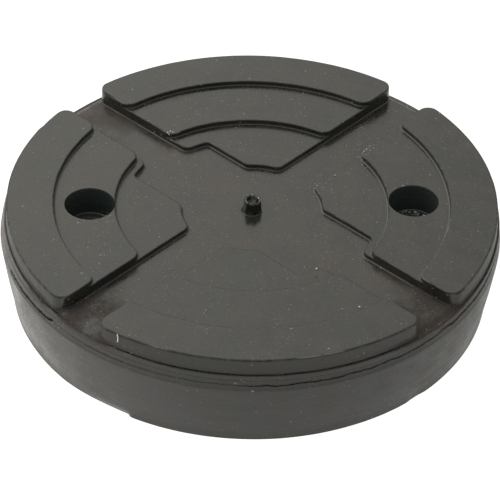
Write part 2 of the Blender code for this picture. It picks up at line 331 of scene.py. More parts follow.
DISC_PROFILE = [
    *((radius, FACE) for radius in (0, 20, 40, 60, 65.5, 66.3)),
    *((radius, face_height(radius)) for radius in (66.6, 66.9, 67.2, 67.5)),
    (67.8, face_height(67.8), -0.2), (68.05, face_height(68.05), -0.5),
    (68.2, 24.36, -0.4), (68.32, 24.41), (68.46, 24.45), (68.66, 24.46), (68.76, 24.44, 0.3),
    (68.84, 24.39, 0.8), (68.87, 24.32, 0.4), (68.88, 24.1), (68.9, 23.75), (68.95, 23.4),
    (69.02, 23.1), (69.04, 22.95), (67.6, 22.9), (67.6, 20.55), (69.41, 20.5), (69.45, 20.3),
    (69.52, 20.1), (69.6, 19.9), (69.64, 19.75), (69.63, 19.55), (69.6, 19.3), (69.5, 18.3),
    (69.2, 16.1), (68.75, 12.9), (68.3, 9.9), (67.7, 6.5), (67.1, 3.2), (66.95, 2.1), (66.85, 1.1),
    (66.8, 0.45, 0.2), (66.74, 0.12, 0.5), (66.62, 0.0, 0.2), (66.1, 0.0), (60.0, 0.0), (0.0, 0.0),
]
body = turned("moulded_pad", DISC_PROFILE, 480, as_moulded)


def torn(x, y, z):
    """The stub is nearly six-sided, leans a little, and tore off ragged when the moulding was pulled
    from its feed."""
    bearing = atan2(y, x)
    point = Vector((x, y, z))
    lump = noise.noise(point * 0.8 + Vector((3.1, 0.4, 7.7)))
    rag = noise.noise(point * 2.4 + Vector((9.2, 5.5, 1.3)))
    high = ramp(z, 27.9, 28.9)
    low = ramp(z, 25.4, 26.2)
    sixth = ((bearing + 0.25) % (pi / 3)) - pi / 6
    flat = (cos(pi / 6) / cos(sixth) - 0.93) * low
    grow = 1 + 0.8 * flat + 0.05 * lump * low + 0.10 * rag * high
    spike = high * (0.34 * lump + 0.42 * rag - 0.08 * x + 0.05 * y)
    return x * grow + 0.05 * (z - FACE), y * grow, min(29.42, z + spike)


STUB_PROFILE = [
    (0.0, 27.6), (0.5, 27.55), (0.95, 27.7), (1.35, 28.0), (1.62, 28.4), (1.8, 28.8, 0.6),
    (1.98, 29.06, 1.0), (2.14, 29.04, 1.0), (2.26, 28.85, 0.7), (2.3, 28.55, 0.2), (2.33, 28.2),
    (2.38, 27.6), (2.43, 26.9), (2.48, 26.2), (2.52, 25.8), (2.55, 25.5), (2.6, 25.32),
    (2.7, 25.17), (2.8, 25.09), (2.84, 25.0), (2.86, 24.0), (0.0, 24.0),
]
stub = turned("stub", STUB_PROFILE, 72, torn)
# The fine groove round the foot of the stub.
moat = turned("moat", [(0.0, 25.8), (3.16, 25.8), (3.12, 25.21), (3.04, 25.15), (2.94, 25.08, -0.5),
                       (2.82, 25.04, -0.8), (0.0, 25.04)], 72)

LEDGE_HEIGHT = MIDDLE - 8.6
HOLE_PROFILE = [
    (0.0, 32.0), (7.14, 32.0), (7.14, 28.02), (7.03, 27.95, 0.5), (6.94, 27.84, 0.8),
    (6.87, 27.66, 0.4), (6.85, 27.4), (6.85, LEDGE_HEIGHT + 0.45),
    (6.78, LEDGE_HEIGHT + 0.2, -0.5), (6.62, LEDGE_HEIGHT + 0.06, -0.8), (6.4, LEDGE_HEIGHT, -0.2),
    (4.95, LEDGE_HEIGHT, 0.3), (4.72, LEDGE_HEIGHT - 0.06, 1.0), (4.58, LEDGE_HEIGHT - 0.2, 1.0),
    (4.5, LEDGE_HEIGHT - 0.45, 0.4), (4.5, 0.3), (4.6, 0.1), (4.8, -1.0), (0.0, -1.0),
]


def hole_at(centre):
    return turned("hole", HOLE_PROFILE, 96, lambda x, y, z: (x + centre, y, z))


def combine(obj, operation, other):
    boolean = obj.modifiers.new(other.name, "BOOLEAN")
    boolean.operation = operation
    boolean.solver = "EXACT"
    boolean.object = other


def freeze(obj):
    bpy.context.view_layer.update()
    graph = bpy.context.evaluated_depsgraph_get()
    mesh = bpy.data.meshes.new_from_object(obj.evaluated_get(graph))
    obj.modifiers.clear()
    obj.data = mesh


tools = [moat, stub, sectors(), hole_at(-HOLE_OFFSET), hole_at(HOLE_OFFSET)]
for tool, operation in zip(tools, ("DIFFERENCE", "UNION", "UNION", "DIFFERENCE", "DIFFERENCE")):
    combine(body, operation, tool)
# The exact solver mixes up the edge marks, so each vertex gets the mark of its place again afterwards.
marks = [(vert.co.copy(), mark.value) for obj in [body] + tools
         for vert, mark in zip(obj.data.vertices, obj.data.attributes["edge"].data)]
known = kdtree.KDTree(len(marks))
for i, (point, _) in enumerate(marks):
    known.insert(point, i)
known.balance()
freeze(body)
for tool in tools:
    bpy.data.objects.remove(tool)
for vert, mark in zip(body.data.vertices, body.data.attributes["edge"].data):
    _, nearest, distance = known.find(vert.co)
    mark.value = marks[nearest][1] if distance < 0.02 else 0.0

# Rubber is never quite true: a slight waviness, and a nick in the back of the left sector. The seed is
# set because the noise vectors take theirs from the clock otherwise.
noise.seed_set(4)
for vert in body.data.vertices:
    point = vert.co
    if 0.05 < point.z < 29.9:
        broad = noise.noise_vector(Vector((point.x, point.y, point.z * 0.4)) / 14 + Vector((5, 2, 8)))
        fine = noise.noise_vector(Vector((point.x, point.y, point.z * 0.6)) / 3.2 + Vector((1, 9, 4)))
        bearing = degrees(atan2(point.y, point.x)) % 360
        nick = 0.004 * ramp(hypot(point.x, point.y), 66.0, 67.5) * ramp(point.z, 25.4, 26.4)
        nick *= ramp(bearing, 141.5, 143.0) * ramp(bearing, 151.0, 150.0)
        vert.co.x += 0.07 * broad.x + 0.03 * fine.x - nick * point.x
        vert.co.y += 0.07 * broad.y + 0.03 * fine.y - nick * point.y
body.data.transform(Matrix.Scale(MM, 4))
body.data.shade_smooth()
body.data.set_sharp_from_angle(angle=radians(40))
weighting = body.modifiers.new("weighted_normals", "WEIGHTED_NORMAL")
weighting.keep_sharp = True
weighting.weight = 70
freeze(body)


def plug(tree, source, socket):
    if isinstance(source, bpy.types.NodeSocket):
        tree.links.new(source, socket)
    else:
        socket.default_value = source


def calc(tree, operation, *values, clamp=False):
    node = tree.nodes.new("ShaderNodeMath")
    node.operation = operation
    node.use_clamp = clamp
    for value, socket in zip(values, node.inputs):
        plug(tree, value, socket)
    return node.outputs[0]


def sums(tree):
    """Short names for the four sums that a tree is mostly made of. The last one is a * b + c."""
    return [partial(calc, tree, name) for name in ("ADD", "SUBTRACT", "MULTIPLY", "MULTIPLY_ADD")]


def vector_calc(tree, operation, *values):
    node = tree.nodes.new("ShaderNodeVectorMath")
    node.operation = operation
    for value, socket in zip(values, node.inputs):
        plug(tree, value, socket)
    return node.outputs["Value" if operation in ("LENGTH", "DISTANCE") else "Vector"]


def span(tree, value, start, end, low=0.0, high=1.0, smooth=True):
    """The value mapped from start..end on to low..high, and held at both ends."""
    node = tree.nodes.new("ShaderNodeMapRange")
    node.interpolation_type = "SMOOTHSTEP" if smooth else "LINEAR"
    for source, name in ((value, "Value"), (start, "From Min"), (end, "From Max"), (low, "To Min"),
                         (high, "To Max")):
        plug(tree, source, node.inputs[name])
    return node.outputs["Result"]


def split(tree, vector):
    node = tree.nodes.new("ShaderNodeSeparateXYZ")
    tree.links.new(vector, node.inputs[0])
    return node.outputs


def united(tree, *values):
    node = tree.nodes.new("ShaderNodeCombineXYZ")
    for value, socket in zip(values, node.inputs):
        plug(tree, value, socket)
    return node.outputs[0]


def noise_of(tree, vector, scale, detail=3.0, rough=0.5):
    node = tree.nodes.new("ShaderNodeTexNoise")
    for source, name in ((vector, "Vector"), (scale, "Scale"), (detail, "Detail"), (rough, "Roughness")):
        plug(tree, source, node.inputs[name])
    return node.outputs[0]


def blend(tree, factor, first, second):
    node = tree.nodes.new("ShaderNodeMix")
    node.data_type = "RGBA"
    plug(tree, factor, node.inputs["Factor"])
    plug(tree, first, node.inputs[6])
    plug(tree, second, node.inputs[7])
    return node.outputs[2]


def node_group(name, kind, inputs, outputs):
    """A new node group, with the nodes that stand for its inputs and its outputs. An input is given
    by its name, what it holds and its usual value."""
    tree = bpy.data.node_groups.new(name, kind)
    for label, holds, value in inputs:
        socket = tree.interface.new_socket(label, in_out="INPUT", socket_type="NodeSocket" + holds)
        if value is not None:
            socket.default_value = value
    for label, holds in outputs:
        tree.interface.new_socket(label, in_out="OUTPUT", socket_type="NodeSocket" + holds)
    return tree, tree.nodes.new("NodeGroupInput"), tree.nodes.new("NodeGroupOutput")


def use_group(tree, group, **values):
    node = tree.nodes.new("ShaderNodeGroup")
    node.node_tree = group
    for name, value in values.items():
        plug(tree, value, node.inputs[name])
    return node


def skin_group():
    """Moulded rubber close to: blotches, a fine grain, and the marks left by the turned mould."""
    tree, given, result = node_group(
        "moulded_skin", "ShaderNodeTree",
        [("Place", "Vector", None), ("Grain", "Float", 1.0)],
        [("Height", "Float"), ("Blotch", "Float"), ("Streak", "Float")],
    )
    add, less, times, times_add = sums(tree)
    place = given.outputs["Place"]
    blotch = noise_of(tree, place, 0.13, 4.0, 0.6)
    fine = noise_of(tree, place, 1.3, 5.0, 0.7)
    grain = noise_of(tree, place, 3.4, 2.0, 0.6)
    x, y, z = split(tree, place)
    across = calc(tree, "POWER", add(calc(tree, "POWER", x, 2.0), calc(tree, "POWER", y, 2.0)), 0.5)
    bearing = calc(tree, "ARCTAN2", y, add(x, 0.001))
    turned_place = united(tree, times(across, 1.5), times(bearing, 4.5), times(z, 1.7))
    streak = noise_of(tree, turned_place, 1.0, 3.0, 0.55)
    total = add(times(fine, 0.6), times(grain, 0.35))
    total = add(total, times(streak, 0.4))
    plug(tree, times(total, given.outputs["Grain"]), result.inputs["Height"])
    mixed = add(times(blotch, 0.5), times(fine, 0.5))
    mixed = times_add(less(grain, 0.5), 0.55, mixed)
    plug(tree, span(tree, mixed, 0.34, 0.66), result.inputs["Blotch"])
    plug(tree, span(tree, streak, 0.38, 0.62), result.inputs["Streak"])
    return tree


# The specks come in three layers: cells to the mm, largest radius, share of the cells, brightness.
SPECK_LAYERS = [(1.5, 0.17, 0.9, 0.42), (0.85, 0.20, 0.45, 0.8), (3.0, 0.10, 0.30, 0.36)]


def dust_group():
    """Workshop dust: a thin brown film in patches, and pale specks that gather in places."""
    tree, given, result = node_group(
        "settled_dust", "ShaderNodeTree",
        [("Place", "Vector", None), ("Film", "Float", 0.5), ("Density", "Float", 0.5)],
        [("Film", "Float"), ("Specks", "Float")],
    )
    add, _, times, _ = sums(tree)
    place = given.outputs["Place"]
    cloud = noise_of(tree, place, 0.085, 6.0, 0.66)
    patchy = span(tree, cloud, 0.38, 0.66)
    ragged = span(tree, noise_of(tree, place, 0.9, 5.0, 0.75), 0.36, 0.66)
    film = times(add(times(patchy, 0.65), times(ragged, 0.35)), given.outputs["Film"])
    plug(tree, film, result.inputs["Film"])
    crowd = span(tree, noise_of(tree, place, 0.11, 4.0, 0.7), 0.42, 0.70, 0.25, 1.0)
    crowd = calc(tree, "MINIMUM", times(crowd, given.outputs["Density"]), 0.9)
    layers = []
    stir = tree.nodes.new("ShaderNodeTexNoise")
    tree.links.new(place, stir.inputs["Vector"])
    stir.inputs["Scale"].default_value = 3.0
    centred = vector_calc(tree, "SUBTRACT", stir.outputs["Color"], (0.5, 0.5, 0.5))
    stirred = vector_calc(tree, "MULTIPLY", centred, (0.9, 0.9, 0.9))
    ragged_place = vector_calc(tree, "ADD", place, stirred)
    for scale, largest, share, strength in SPECK_LAYERS:
        cells = tree.nodes.new("ShaderNodeTexVoronoi")
        plug(tree, ragged_place, cells.inputs["Vector"])
        cells.inputs["Scale"].default_value = scale
        lots = tree.nodes.new("ShaderNodeSeparateColor")
        tree.links.new(cells.outputs["Color"], lots.inputs[0])
        size = times(add(lots.outputs[1], 0.35), largest * scale)
        dot = span(tree, cells.outputs["Distance"], size, times(size, 0.55))
        chosen = calc(tree, "LESS_THAN", lots.outputs[0], times(crowd, share))
        bright = times(add(lots.outputs[2], 0.35), strength)
        layers.append(times(times(dot, chosen), bright))
    specks = calc(tree, "MAXIMUM", calc(tree, "MAXIMUM", layers[0], layers[1]), layers[2], clamp=True)
    plug(tree, specks, result.inputs["Specks"])
    return tree


def wear_and_shade_group():
    """Edges rubbed pale in broken lines, and creases where shade is painted dark in patches. Edge is +1
    on an outer edge and -1 in a crease."""
    tree, given, result = node_group(
        "edge_wear_and_crease_shade", "ShaderNodeTree",
        [("Place", "Vector", None), ("Edge", "Float", 0.0), ("Amount", "Float", 0.5)],
        [("Rub And Glint", "Float"), ("Crease", "Float"), ("Rounded", "Float")],
    )
    add, less, times, _ = sums(tree)
    place, edge = given.outputs["Place"], given.outputs["Edge"]
    broken = noise_of(tree, place, 1.6, 5.0, 0.75)
    gate = less(0.80, times(given.outputs["Amount"], 0.42))
    ragged = span(tree, broken, gate, add(gate, 0.14))
    outer = span(tree, edge, 0.25, 0.95)
    plug(tree, times(ragged, outer), result.inputs["Rub And Glint"])
    uneven = span(tree, noise_of(tree, place, 0.45, 4.0, 0.7), 0.36, 0.6, 0.35, 1.0)
    plug(tree, times(span(tree, edge, 0.05, 0.5), uneven), result.inputs["Rounded"])
    # Painted shade: the crease mask, broken into patches, darkens the colour in the material.
    inner = span(tree, edge, -0.15, -0.95)
    crease_shade_patches = span(tree, noise_of(tree, place, 0.7, 4.0, 0.7), 0.3, 0.62, 0.35, 1.0)
    plug(tree, times(inner, crease_shade_patches), result.inputs["Crease"])
    return tree


def new_material(name):
    material = bpy.data.materials.new(name)
    material.use_nodes = True
    return material, material.node_tree, material.node_tree.nodes["Principled BSDF"]


# Where dust has gathered or an edge is rubbed pale: place in mm, reach, strength of dust and of
# rubbing. At the stub's rim the strong rubbing is a painted highlight.
SPOTS = [
    (33.5, 22.6, 28, 5.5, 1, 1), (37, 26, 28, 5, 0.8, 0.5), (18, 7.4, 26.5, 4.5, 0.9, 0.9),
    (23.5, 13.5, 26.5, 5, 0.9, 0.9), (53.9, -14, 29, 5.5, 0.1, 0.9), (51, -24.5, 29, 6, 0.1, 1),
    (45.5, -34.5, 29, 6, 0.3, 1), (-42, -24, 28, 5, 0.4, 0.8), (-45.5, -31, 29, 5, 0.6, 1),
    (-36.2, 46, 28.5, 5, 0.6, 1), (-22.3, 32.7, 27.5, 5, 0.6, 1), (-43.7, 25.9, 28, 5.5, 1, 0.6),
    (-42.5, -15, 28, 6, 1.3, 0.6), (-32, -12, 27, 4.5, 0.2, 0.8), (12, -65.6, 29.3, 5, 0.3, 1.4),
    (18.5, -64.8, 29.3, 5, 0.4, 1.2), (-26, -61.8, 29.3, 5.5, 0.8, 0.9), (44, 5.2, 19.4, 4, 0.8, 0.5),
    (47.2, 4.6, 19.4, 2.6, 1.4, 0.8), (-45, 4.5, 19.4, 4.5, 0.2, 0.7), (0, 0, 29.2, 3.2, 0.3, 2),
    (-52, -45, 21.4, 6, 0.4, 0.7), (-36, -58, 23.5, 9, 0.8, 1), (58, 26, 29.4, 7, 0.6, 0.4),
    (48.6, 47, 24.6, 7, 1.2, 0.7), (-49, 48, 24.6, 7, 0.8, 0.6), (-21.8, 32, 27.5, 2.8, 2.4, 1),
    (-36.6, 45.2, 28.6, 2.8, 1.2, 0.8),
]

# Usual strength of the brown film on the low face, and where it is stronger or weaker: x, y, how much.
STAIN = 0.6
STAINS = [(-46.0, 46.0, 0.24), (-52.0, -46.0, 0.6), (48.0, -50.0, 0.65), (44.0, 47.0, -0.25)]

skin, dust, wear_and_crease = skin_group(), dust_group(), wear_and_shade_group()


def black_rubber(name, hollow):
    """Black rubber: faintly blue where it is clean, brown where dust lies on the low face. Inside the
    bores light is painted in as a lighter, bluer colour, and shade is painted dark into creases. Hollow
    names the attribute that marks torn places, or is None; there the shade of the tear is painted dark."""
    material, tree, shader = new_material(name)
    add, less, times, times_add = sums(tree)
    origin = tree.nodes.new("ShaderNodeTexCoord")
    in_mm = tree.nodes.new("ShaderNodeMapping")
    in_mm.inputs["Scale"].default_value = (1 / MM, 1 / MM, 1 / MM)
    tree.links.new(origin.outputs["Object"], in_mm.inputs["Vector"])
    place = in_mm.outputs["Vector"]
    at_x, at_y, at_z = split(tree, place)
    facing_up = split(tree, tree.nodes.new("ShaderNodeNewGeometry").outputs["Normal"])[2]
    upward = span(tree, facing_up, 0.55, 0.95)
    upright = span(tree, facing_up, 0.5, 0.2)

    def near_to(point, reach, full):
        return span(tree, vector_calc(tree, "DISTANCE", place, point), reach, full)

    dusty = rub_and_glint = 0.0
    for x, y, z, reach, dust_here, rub_and_glint_here in SPOTS:
        near = near_to((x, y, z), reach, reach * 0.25)
        dusty = times_add(near, dust_here, dusty)
        rub_and_glint = times_add(near, rub_and_glint_here, rub_and_glint)

    edge = tree.nodes.new("ShaderNodeAttribute")
    edge.attribute_name = "edge"
    low_face = times(span(tree, at_z, 26.2, 25.3), span(tree, at_z, 22.8, 24.2))
    surface = use_group(tree, skin, Place=place, Grain=1.0)
    beside = vector_calc(tree, "DISTANCE", united(tree, calc(tree, "ABSOLUTE", at_x), at_y, 0.0),
                         (HOLE_OFFSET, 0.0, 0.0))
    bore = times(span(tree, beside, 7.3, 7.0), span(tree, at_z, 27.8, 27.4))
    side = times(upright, span(tree, at_z, 25.0, 23.8))
    at_left = span(tree, at_x, 15.0, -45.0)
    stain = STAIN
    for x, y, more in STAINS:
        stain = times_add(near_to((x, y, 25.0), 24.0, 8.0), more, stain)
    soiled = times(low_face, less(stain, STAIN, clamp=True))
    across = vector_calc(tree, "LENGTH", vector_calc(tree, "MULTIPLY", place, (1.0, 1.0, 0.0)))
    outer_wall = times(times(upright, span(tree, across, 66.8, 67.6)), span(tree, at_z, 24.4, 25.4))
    film_here = times_add(low_face, stain, times_add(upward, 0.34, 0.18))
    # The side wall gets more film towards the left, which makes its colour lighter there.
    film_here = times_add(times(side, at_left), 0.55, film_here)
    film_here = times_add(side, 0.16, film_here)
    film_here = times_add(outer_wall, 0.3, film_here)
    at_stub = near_to((0.0, 0.0, 26.5), 3.4, 2.9)
    film_here = times(film_here, less(1.0, at_stub))
    # In front of the stub the film is thinned and the face made smoother. The darker colour there is
    # painted shade that deepens the stub's dark reflection.
    by_stub = near_to((0.0, -2.5, FACE), 9.5, 5.0)
    film_here = times(film_here, times_add(by_stub, -0.7, 1.0))
    film_here = times(film_here, less(1.0, bore))
    speck_here = add(times_add(upward, 0.14, 0.40), dusty)
    settled = use_group(tree, dust, Place=place, Film=film_here, Density=speck_here)
    edges = use_group(tree, wear_and_crease, Place=place, Edge=edge.outputs["Fac"],
                      Amount=times_add(rub_and_glint, 0.6, 0.42))

    film, specks = settled.outputs["Film"], settled.outputs["Specks"]
    blotch, pale_rub_and_glint = surface.outputs["Blotch"], edges.outputs["Rub And Glint"]
    clean = blend(tree, blotch, (0.0070, 0.0085, 0.0080, 1.0), (0.0205, 0.0210, 0.0180, 1.0))
    colour = blend(tree, times(film, 0.26), clean, (0.084, 0.052, 0.047, 1.0))
    colour = blend(tree, times(at_stub, 0.85), colour, (0.005, 0.0055, 0.006, 1.0))
    # Painted light: inside the bores the colour is lighter and bluer, lifting the shade there.
    colour = blend(tree, bore, colour, (0.026, 0.034, 0.033, 1.0))
    # Painted shade: creases darkened towards black, and rounded edges darkened with them.
    crease_shade_and_dull_edge = calc(tree, "MAXIMUM", edges.outputs["Crease"], edges.outputs["Rounded"])
    colour = blend(tree, times(crease_shade_and_dull_edge, 0.75), colour, (0.005, 0.005, 0.005, 1.0))
    # Pale rub on worn edges; at the stub's rim it is a painted highlight.
    colour = blend(tree, times(pale_rub_and_glint, 0.42), colour, (0.27, 0.265, 0.25, 1.0))
    colour = blend(tree, times(specks, 0.75), colour, (0.36, 0.355, 0.345, 1.0))
    rough = times_add(blotch, 0.19, 0.08)
    rough = times_add(outer_wall, 0.32, rough)
    rough = times_add(by_stub, -0.05, rough)
    rough = times_add(edges.outputs["Rounded"], 0.42, rough)
    rough = times_add(times(soiled, film), 0.95, rough)
    rough = times_add(surface.outputs["Streak"], times_add(side, 0.015, 0.05), rough)
    rough = times_add(side, times_add(at_left, -0.16, 0.28), rough)
    rough = times_add(film, 0.16, rough)
    rough = times_add(pale_rub_and_glint, 0.3, rough)
    rough = times_add(specks, 0.4, rough, clamp=True)
    # Painted shade: the torn hollows are made near black and rough, for the shade inside the tear.
    if hollow:
        tear_shade = tree.nodes.new("ShaderNodeAttribute")
        tear_shade.attribute_name = hollow
        colour = blend(tree, tear_shade.outputs["Fac"], colour, (0.004, 0.004, 0.004, 1.0))
        rough = times_add(tear_shade.outputs["Fac"], 0.9, rough, clamp=True)
    bump = tree.nodes.new("ShaderNodeBump")
    bump.inputs["Strength"].default_value = 1.0
    bump.inputs["Distance"].default_value = 0.000012
    plug(tree, surface.outputs["Height"], bump.inputs["Height"])
    plug(tree, colour, shader.inputs["Base Color"])
    plug(tree, rough, shader.inputs["Roughness"])
    plug(tree, bump.outputs["Normal"], shader.inputs["Normal"])
    shader.inputs["Metallic"].default_value = 0.0
    shader.inputs["IOR"].default_value = 1.5
    return material


rubber = black_rubber("black_rubber", None)
body.data.materials.clear()
body.data.materials.append(rubber)
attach(body, "root")
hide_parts("rubber_pad")

# ---- the parting line ----
# Where the two halves of the mould met, a thin lip of rubber squeezed out and was torn off by hand. It
# left a fine crack at the right, a ragged open tear at the left and a trimmed stretch between them.
# Inside the crack and the tear, shade is painted dark into the colour.


def finish_tree(tree, geometry, material, result):
    """Ends a geometry tree: instances made real, and the material set."""
    real = tree.nodes.new("GeometryNodeRealizeInstances")
    tree.links.new(geometry, real.inputs[0])
    coat = tree.nodes.new("GeometryNodeSetMaterial")
    tree.links.new(real.outputs[0], coat.inputs["Geometry"])
    coat.inputs["Material"].default_value = material
    tree.links.new(coat.outputs[0], result.inputs["Geometry"])


# The groove that the ring fills: its two heights, and the radius of the ring at each.
FLASH_FOOT, FLASH_TOP = 20.48, 22.97
FOOT_RADIUS, TOP_RADIUS = 69.42, 69.05


def flash_tree(material):
    """A closed ring that fills the groove left for it in the body, its outer face torn."""
    tree, given, result = node_group(
        "torn_parting_line", "GeometryNodeTree",
        [("Steps", "Int", 1600), ("Rows", "Int", 29), ("Foot", "Float", FLASH_FOOT),
         ("Top", "Float", FLASH_TOP), ("Lip", "Float", 0.12), ("Tear Depth", "Float", 1.15)],
        [("Geometry", "Geometry")],
    )
    add, less, times, times_add = sums(tree)
    foot, top = given.outputs["Foot"], given.outputs["Top"]
    grid = tree.nodes.new("GeometryNodeMeshGrid")
    plug(tree, 1.0, grid.inputs["Size X"])
    plug(tree, 1.0, grid.inputs["Size Y"])
    plug(tree, given.outputs["Steps"], grid.inputs["Vertices X"])
    plug(tree, given.outputs["Rows"], grid.inputs["Vertices Y"])
    position = tree.nodes.new("GeometryNodeInputPosition").outputs[0]
    column, row, _ = split(tree, position)
    turn = times(add(column, 0.5), 2 * pi)
    across, up = calc(tree, "COSINE", turn), calc(tree, "SINE", turn)
    bearing = times(turn, 180 / pi)

    def stretch(start, end, fade=3.0):
        return times(span(tree, bearing, start, start + fade), span(tree, bearing, end, end - fade))

    def along(scale, detail, rough, lot):
        where = united(tree, times(across, 69.0), times(up, 69.0), lot)
        return less(noise_of(tree, where, scale, detail, rough), 0.5)

    def apart_from_line(sign):
        return calc(tree, "POWER", calc(tree, "MAXIMUM", times(row, 2.0 * sign), 0.0), 1.5)

    wander = times(along(0.14, 3.0, 0.6, 1.0), times_add(stretch(264, 348), 1.1, 0.5))
    wander = times_add(along(0.9, 4.0, 0.7, 2.0), 0.45, wander)
    notch = times(stretch(210, 219, 0.6), 0.35)
    wander = times_add(span(tree, bearing, 216.2, 218.2), notch, wander)
    line = times_add(span(tree, bearing, 300, 324), 0.5, 21.38)
    line = times_add(span(tree, bearing, 334, 347), 0.45, line)
    line = times_add(stretch(188, 219, 4.0), -0.33, line)
    line = add(line, wander)
    above = times(apart_from_line(1), less(top, line))
    below = times(apart_from_line(-1), less(line, foot))
    off = less(above, below)
    height = add(line, off)
    rag = along(1.3, 5.0, 0.75, 3.0)
    left_tear, right_crack = stretch(196.5, 218.6, 1.0), stretch(264, 349, 6.0)
    trimmed = stretch(228.0, 240.0, 2.0)
    depth = times_add(along(0.25, 3.0, 0.6, 4.0), 1.4, 0.6)
    share = times_add(right_crack, depth, 0.08)
    share = times_add(trimmed, 0.45, share)
    share = calc(tree, "MAXIMUM", share, times(left_tear, times_add(rag, 0.9, 1.1)))
    half = times_add(left_tear, times_add(rag, 1.1, 0.40), 0.10)
    half = times_add(right_crack, times_add(rag, 0.35, 0.08), half)
    half = times_add(stretch(312, 349, 8.0), times_add(rag, 0.5, 0.16), half)
    inside = span(tree, calc(tree, "ABSOLUTE", off), half, times(half, 0.6))
    hollow = times(inside, calc(tree, "MAXIMUM", share, 0.0), clamp=True)
    lip_at = calc(tree, "ABSOLUTE", less(off, add(half, 0.10)))
    lip = times(span(tree, lip_at, 0.16, 0.02), times_add(rag, 1.6, 0.7))
    lip = times(calc(tree, "MAXIMUM", lip, 0.0), given.outputs["Lip"])
    where_scuffed = times_add(stretch(216, 262, 8.0), 0.7, 0.3)
    scuffed = times(times(along(2.2, 3.0, 0.6, 5.0), where_scuffed), 0.12)
    clear = times(span(tree, height, foot, add(foot, 0.12)), span(tree, height, top, less(top, 0.12)))
    radius = span(tree, height, FLASH_FOOT, FLASH_TOP, FOOT_RADIUS, TOP_RADIUS, False)
    change = less(add(lip, scuffed), times(hollow, given.outputs["Tear Depth"]))
    radius = times_add(change, clear, radius)
    shift = span(tree, height, SHIFT_START, SHIFT_END)
    where = united(tree, times_add(shift, SHIFT_X, times(radius, across)),
                   times_add(shift, SHIFT_Y, times(radius, up)), height)
    geometry = grid.outputs["Mesh"]
    # The hollow mark is where the material paints the shade of the tear.
    for name, value in (("hollow", times(hollow, clear)),
                        ("edge", times(times(lip, 7.0, clamp=True), clear))):
        keep = tree.nodes.new("GeometryNodeStoreNamedAttribute")
        keep.data_type, keep.domain = "FLOAT", "POINT"
        plug(tree, geometry, keep.inputs["Geometry"])
        plug(tree, name, keep.inputs["Name"])
        plug(tree, value, keep.inputs["Value"])
        geometry = keep.outputs[0]
    place_it = tree.nodes.new("GeometryNodeSetPosition")
    plug(tree, geometry, place_it.inputs["Geometry"])
    plug(tree, where, place_it.inputs["Position"])
    inward = vector_calc(tree, "MULTIPLY", position, (-1.0, -1.0, 0.0))
    thick = tree.nodes.new("GeometryNodeExtrudeMesh")
    plug(tree, place_it.outputs[0], thick.inputs["Mesh"])
    plug(tree, vector_calc(tree, "NORMALIZE", inward), thick.inputs["Offset"])
    plug(tree, 0.9, thick.inputs["Offset Scale"])
    plug(tree, False, thick.inputs["Individual"])
    joined = tree.nodes.new("GeometryNodeJoinGeometry")
    tree.links.new(thick.outputs["Mesh"], joined.inputs[0])
    tree.links.new(place_it.outputs[0], joined.inputs[0])
    welded = tree.nodes.new("GeometryNodeMergeByDistance")
    plug(tree, joined.outputs[0], welded.inputs["Geometry"])
    plug(tree, 0.002, welded.inputs["Distance"])
    finish_tree(tree, welded.outputs[0], material, result)
    return tree


def grown(name, tree, mesh, **settings):
    """A plain mesh, in metres, made by a geometry tree."""
    obj = mesh_object(name, mesh)
    grow = obj.modifiers.new(name, "NODES")
    grow.node_group = tree
    for item in tree.interface.items_tree:
        if item.item_type == "SOCKET" and item.in_out == "INPUT" and item.name in settings:
            grow[item.identifier] = settings[item.name]
    freeze(obj)
    bm = bmesh.new()
    bm.from_mesh(obj.data)
    bmesh.ops.recalc_face_normals(bm, faces=bm.faces)
    bm.to_mesh(obj.data)
    bm.free()
    obj.data.transform(Matrix.Scale(MM, 4))
    obj.data.shade_smooth()
    return obj


torn_rubber_with_painted_shade = black_rubber("torn_rubber_with_painted_shade", "hollow")
flash = grown("parting_flash", flash_tree(torn_rubber_with_painted_shade), bpy.data.meshes.new("parting_flash"), Lip=0.10)
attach(flash, "root")

# ---- crumbs, grit, lint and painted glints ----
# Small scraps of rubber torn off at the parting line, and what the workshop left on the face: grains of
# grit, short hairs and one white fibre. They lie loose on the surface, or cling to it. Some small
# white blobs are painted highlights at band corners and on the stub's rim.


def add_scrap(bm, place, size, subdivisions, swell, fineness, lot):
    """A small ragged lump. The noise that swells it is as fine as said, and read from a spot, lot."""
    place = Vector(place)
    for vert in bmesh.ops.create_icosphere(bm, subdivisions=subdivisions, radius=size)["verts"]:
        lump = noise.noise(vert.co * fineness / size + lot)
        vert.co = vert.co * (1 + swell * lump) + place


